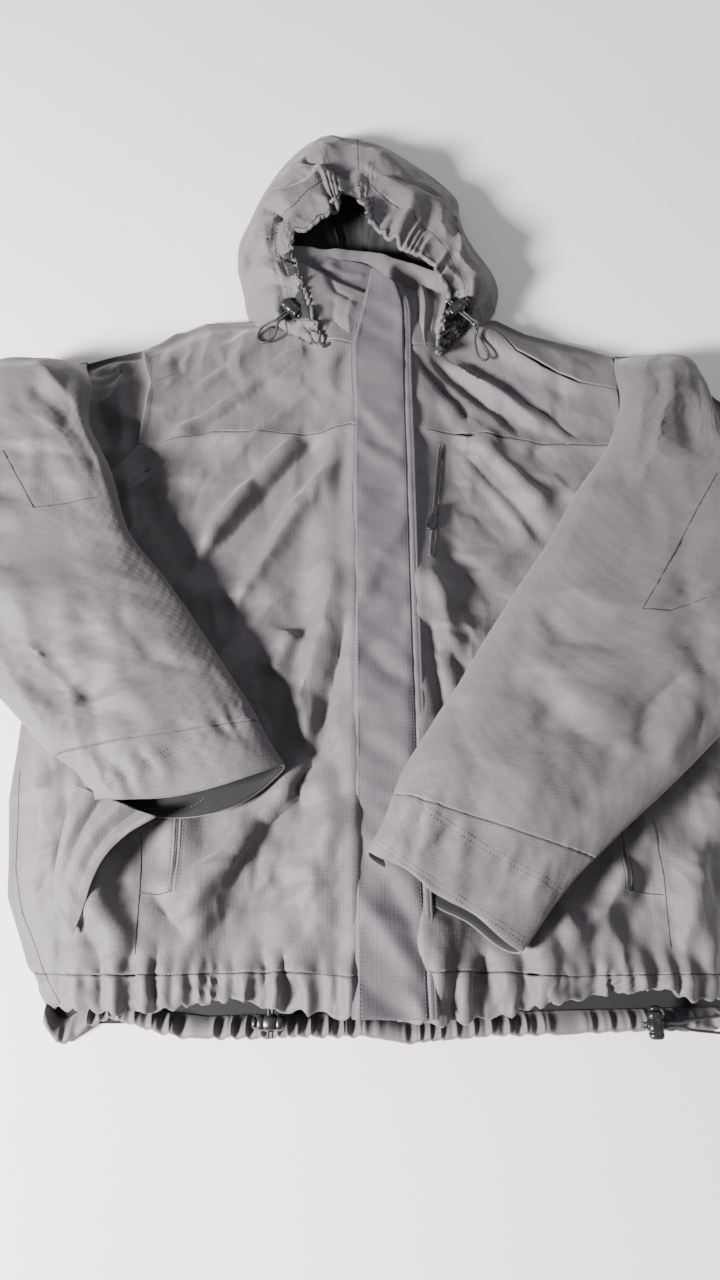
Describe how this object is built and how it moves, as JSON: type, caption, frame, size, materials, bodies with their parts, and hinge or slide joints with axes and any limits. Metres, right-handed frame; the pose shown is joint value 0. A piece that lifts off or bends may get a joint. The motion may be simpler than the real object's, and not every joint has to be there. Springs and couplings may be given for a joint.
{
  "type": "hooded hardshell jacket",
  "caption": "hooded hardshell jacket lying on its back, front zip closed under a storm flap, sleeves folded over the front, drawcord hood and hem",
  "frame": {"origin": "On the resting plane, at the centre of the outline as it lies on its back.", "axes": "+Z is the front of the jacket, facing up; +Y runs from the hem to the hood; +X runs to the wearer's left."},
  "size_m": [0.9119, 1.024, 0.1017],
  "materials": {
    "shell": "grey ripstop weave, matte",
    "trim": "grey shell fabric, bound edges",
    "lining": "black lining and tape",
    "plastic": "black moulded, smooth",
    "zip_plastic": "black moulded teeth",
    "cord": "round elastic cord, braided"
  },
  "bodies": {
    "body": {"back_panel": "shell", "front_panel_r": "shell", "front_panel_l": "shell", "yoke_r": "shell", "yoke_l": "shell", "shoulder_r": "shell", "shoulder_l": "shell", "collar_front_r": "shell", "collar_front_l": "shell", "sleeve_head_r": "shell", "sleeve_head_l": "shell", "storm_flap_lower": "shell", "hem_band_back": "trim", "hem_band_r": "trim", "hem_band_l": "trim", "flap_binding": "trim", "lining_body": "lining", "collar_back": "lining", "zip_tape_r": "lining", "zip_tape_l": "lining", "chest_zip": "lining", "hand_zip_r": "lining", "hand_zip_l": "lining", "chest_pocket": "lining", "hand_pocket_r": "lining", "hand_pocket_l": "lining", "zip_teeth": "zip_plastic", "zip_bottom_box": "zip_plastic", "hood_cord_r": "cord", "hood_cord_l": "cord", "hem_cord_r": "cord", "hem_cord_l": "cord"},
    "flap": {"storm_flap_upper": "shell"},
    "main_slider": {"zip_slider": "zip_plastic"},
    "main_pull": {"zip_pull": "zip_plastic"},
    "chest_slider": {"chest_zip_slider": "zip_plastic"},
    "chest_pull": {"chest_zip_pull": "zip_plastic"},
    "hand_slider_r": {"hand_zip_slider_r": "zip_plastic"},
    "hand_pull_r": {"hand_zip_pull_r": "zip_plastic"},
    "hand_slider_l": {"hand_zip_slider_l": "zip_plastic"},
    "hand_pull_l": {"hand_zip_pull_l": "zip_plastic"},
    "arm_r": {"sleeve_r": "shell", "cuff_r": "trim"},
    "arm_l": {"sleeve_l": "shell", "cuff_l": "trim"},
    "tab_r": {"cuff_tab_r": "trim"},
    "tab_l": {"cuff_tab_l": "trim"},
    "hood": {"hood_back": "shell", "hood_side_r": "shell", "hood_side_l": "shell", "hood_cheek_l": "shell", "hood_brim": "trim"},
    "hood_lock_r": {"hood_lock_r": "plastic"},
    "hood_lock_r_button": {"hood_lock_r_button": "plastic"},
    "hood_lock_l": {"hood_lock_l": "plastic"},
    "hood_lock_l_button": {"hood_lock_l_button": "plastic"},
    "hem_lock_r": {"hem_lock_r": "plastic"},
    "hem_lock_r_button": {"hem_lock_r_button": "plastic"},
    "hem_lock_l": {"hem_lock_l": "plastic"},
    "hem_lock_l_button": {"hem_lock_l_button": "plastic"}
  },
  "joints": [
    {"name": "main_zip_slide", "type": "slide", "parent": "body", "child": "main_slider", "axis": [0, -1, 0], "range_m": [0, 0.66]},
    {"name": "main_zip_pull", "type": "hinge", "parent": "main_slider", "child": "main_pull", "pos_m": [0.02795, 0.246, 0.0516], "axis": [-1, 0, 0], "range_deg": [0, 12]},
    {"name": "chest_zip_slide", "type": "slide", "parent": "body", "child": "chest_slider", "axis": [-0.1039, -0.9946, 0], "range_m": [-0.07, 0.046]},
    {"name": "chest_zip_pull", "type": "hinge", "parent": "chest_slider", "child": "chest_pull", "pos_m": [0.08145, 0, 0.049], "axis": [-1, 0, 0], "range_deg": [0, 62]},
    {"name": "hand_zip_slide_r", "type": "slide", "parent": "body", "child": "hand_slider_r", "axis": [-0.02, -0.9998, 0], "range_m": [0, 0.14]},
    {"name": "hand_zip_pull_r", "type": "hinge", "parent": "hand_slider_r", "child": "hand_pull_r", "pos_m": [-0.16565, -0.23, 0.049], "axis": [-1, 0, 0], "range_deg": [0, 25]},
    {"name": "hand_zip_slide_l", "type": "slide", "parent": "body", "child": "hand_slider_l", "axis": [0.02, -0.9998, 0], "range_m": [0, 0.14]},
    {"name": "hand_zip_pull_l", "type": "hinge", "parent": "hand_slider_l", "child": "hand_pull_l", "pos_m": [0.24655, -0.23, 0.049], "axis": [-1, 0, 0], "range_deg": [0, 25]},
    {"name": "storm_flap_lift", "type": "hinge", "parent": "body", "child": "flap", "pos_m": [0.05995, 0.03, 0.0612], "axis": [0, 1, 0], "range_deg": [0, 110]},
    {"name": "sleeve_fold_r", "type": "hinge", "parent": "body", "child": "arm_r", "pos_m": [-0.44305, 0.034, 0.06], "axis": [-0.1191, -0.9929, 0], "range_deg": [0, 120]},
    {"name": "sleeve_fold_l", "type": "hinge", "parent": "body", "child": "arm_l", "pos_m": [0.44895, 0.024, 0.06], "axis": [-0.1191, 0.9929, 0], "range_deg": [0, 120]},
    {"name": "cuff_tab_hinge_r", "type": "hinge", "parent": "arm_r", "child": "tab_r", "pos_m": [-0.22405, -0.308, 0.064], "axis": [-1, 0, 0], "range_deg": [0, 34]},
    {"name": "cuff_tab_hinge_l", "type": "hinge", "parent": "arm_l", "child": "tab_l", "pos_m": [0.18695, -0.372, 0.0658], "axis": [0, -1, 0], "range_deg": [0, 12]},
    {"name": "hood_lift", "type": "hinge", "parent": "body", "child": "hood", "pos_m": [0.01595, 0.279, 0.045], "axis": [1, 0, 0], "range_deg": [0, 50]},
    {"name": "hood_lock_r_slide", "type": "slide", "parent": "body", "child": "hood_lock_r", "axis": [-0.6816, -0.7317, 0], "range_m": [0, 0.006]},
    {"name": "hood_lock_r_press", "type": "slide", "parent": "hood_lock_r", "child": "hood_lock_r_button", "axis": [-0.7317, 0.6816, 0], "range_m": [0, 0.0028], "stiffness_N_per_m": 300, "springref_m": -0.002},
    {"name": "hood_lock_l_slide", "type": "slide", "parent": "body", "child": "hood_lock_l", "axis": [0.6918, -0.7221, 0], "range_m": [0, 0.006]},
    {"name": "hood_lock_l_press", "type": "slide", "parent": "hood_lock_l", "child": "hood_lock_l_button", "axis": [-0.7221, -0.6918, 0], "range_m": [0, 0.0028], "stiffness_N_per_m": 300, "springref_m": -0.002},
    {"name": "hem_lock_r_slide", "type": "slide", "parent": "body", "child": "hem_lock_r", "axis": [0, 1, 0], "range_m": [0, 0.006]},
    {"name": "hem_lock_r_press", "type": "slide", "parent": "hem_lock_r", "child": "hem_lock_r_button", "axis": [1, 0, 0], "range_m": [0, 0.0028], "stiffness_N_per_m": 300, "springref_m": -0.002},
    {"name": "hem_lock_l_slide", "type": "slide", "parent": "body", "child": "hem_lock_l", "axis": [1, 0, 0], "range_m": [0, 0.006]},
    {"name": "hem_lock_l_press", "type": "slide", "parent": "hem_lock_l", "child": "hem_lock_l_button", "axis": [0, -1, 0], "range_m": [0, 0.0028], "stiffness_N_per_m": 300, "springref_m": -0.002}
  ]
}
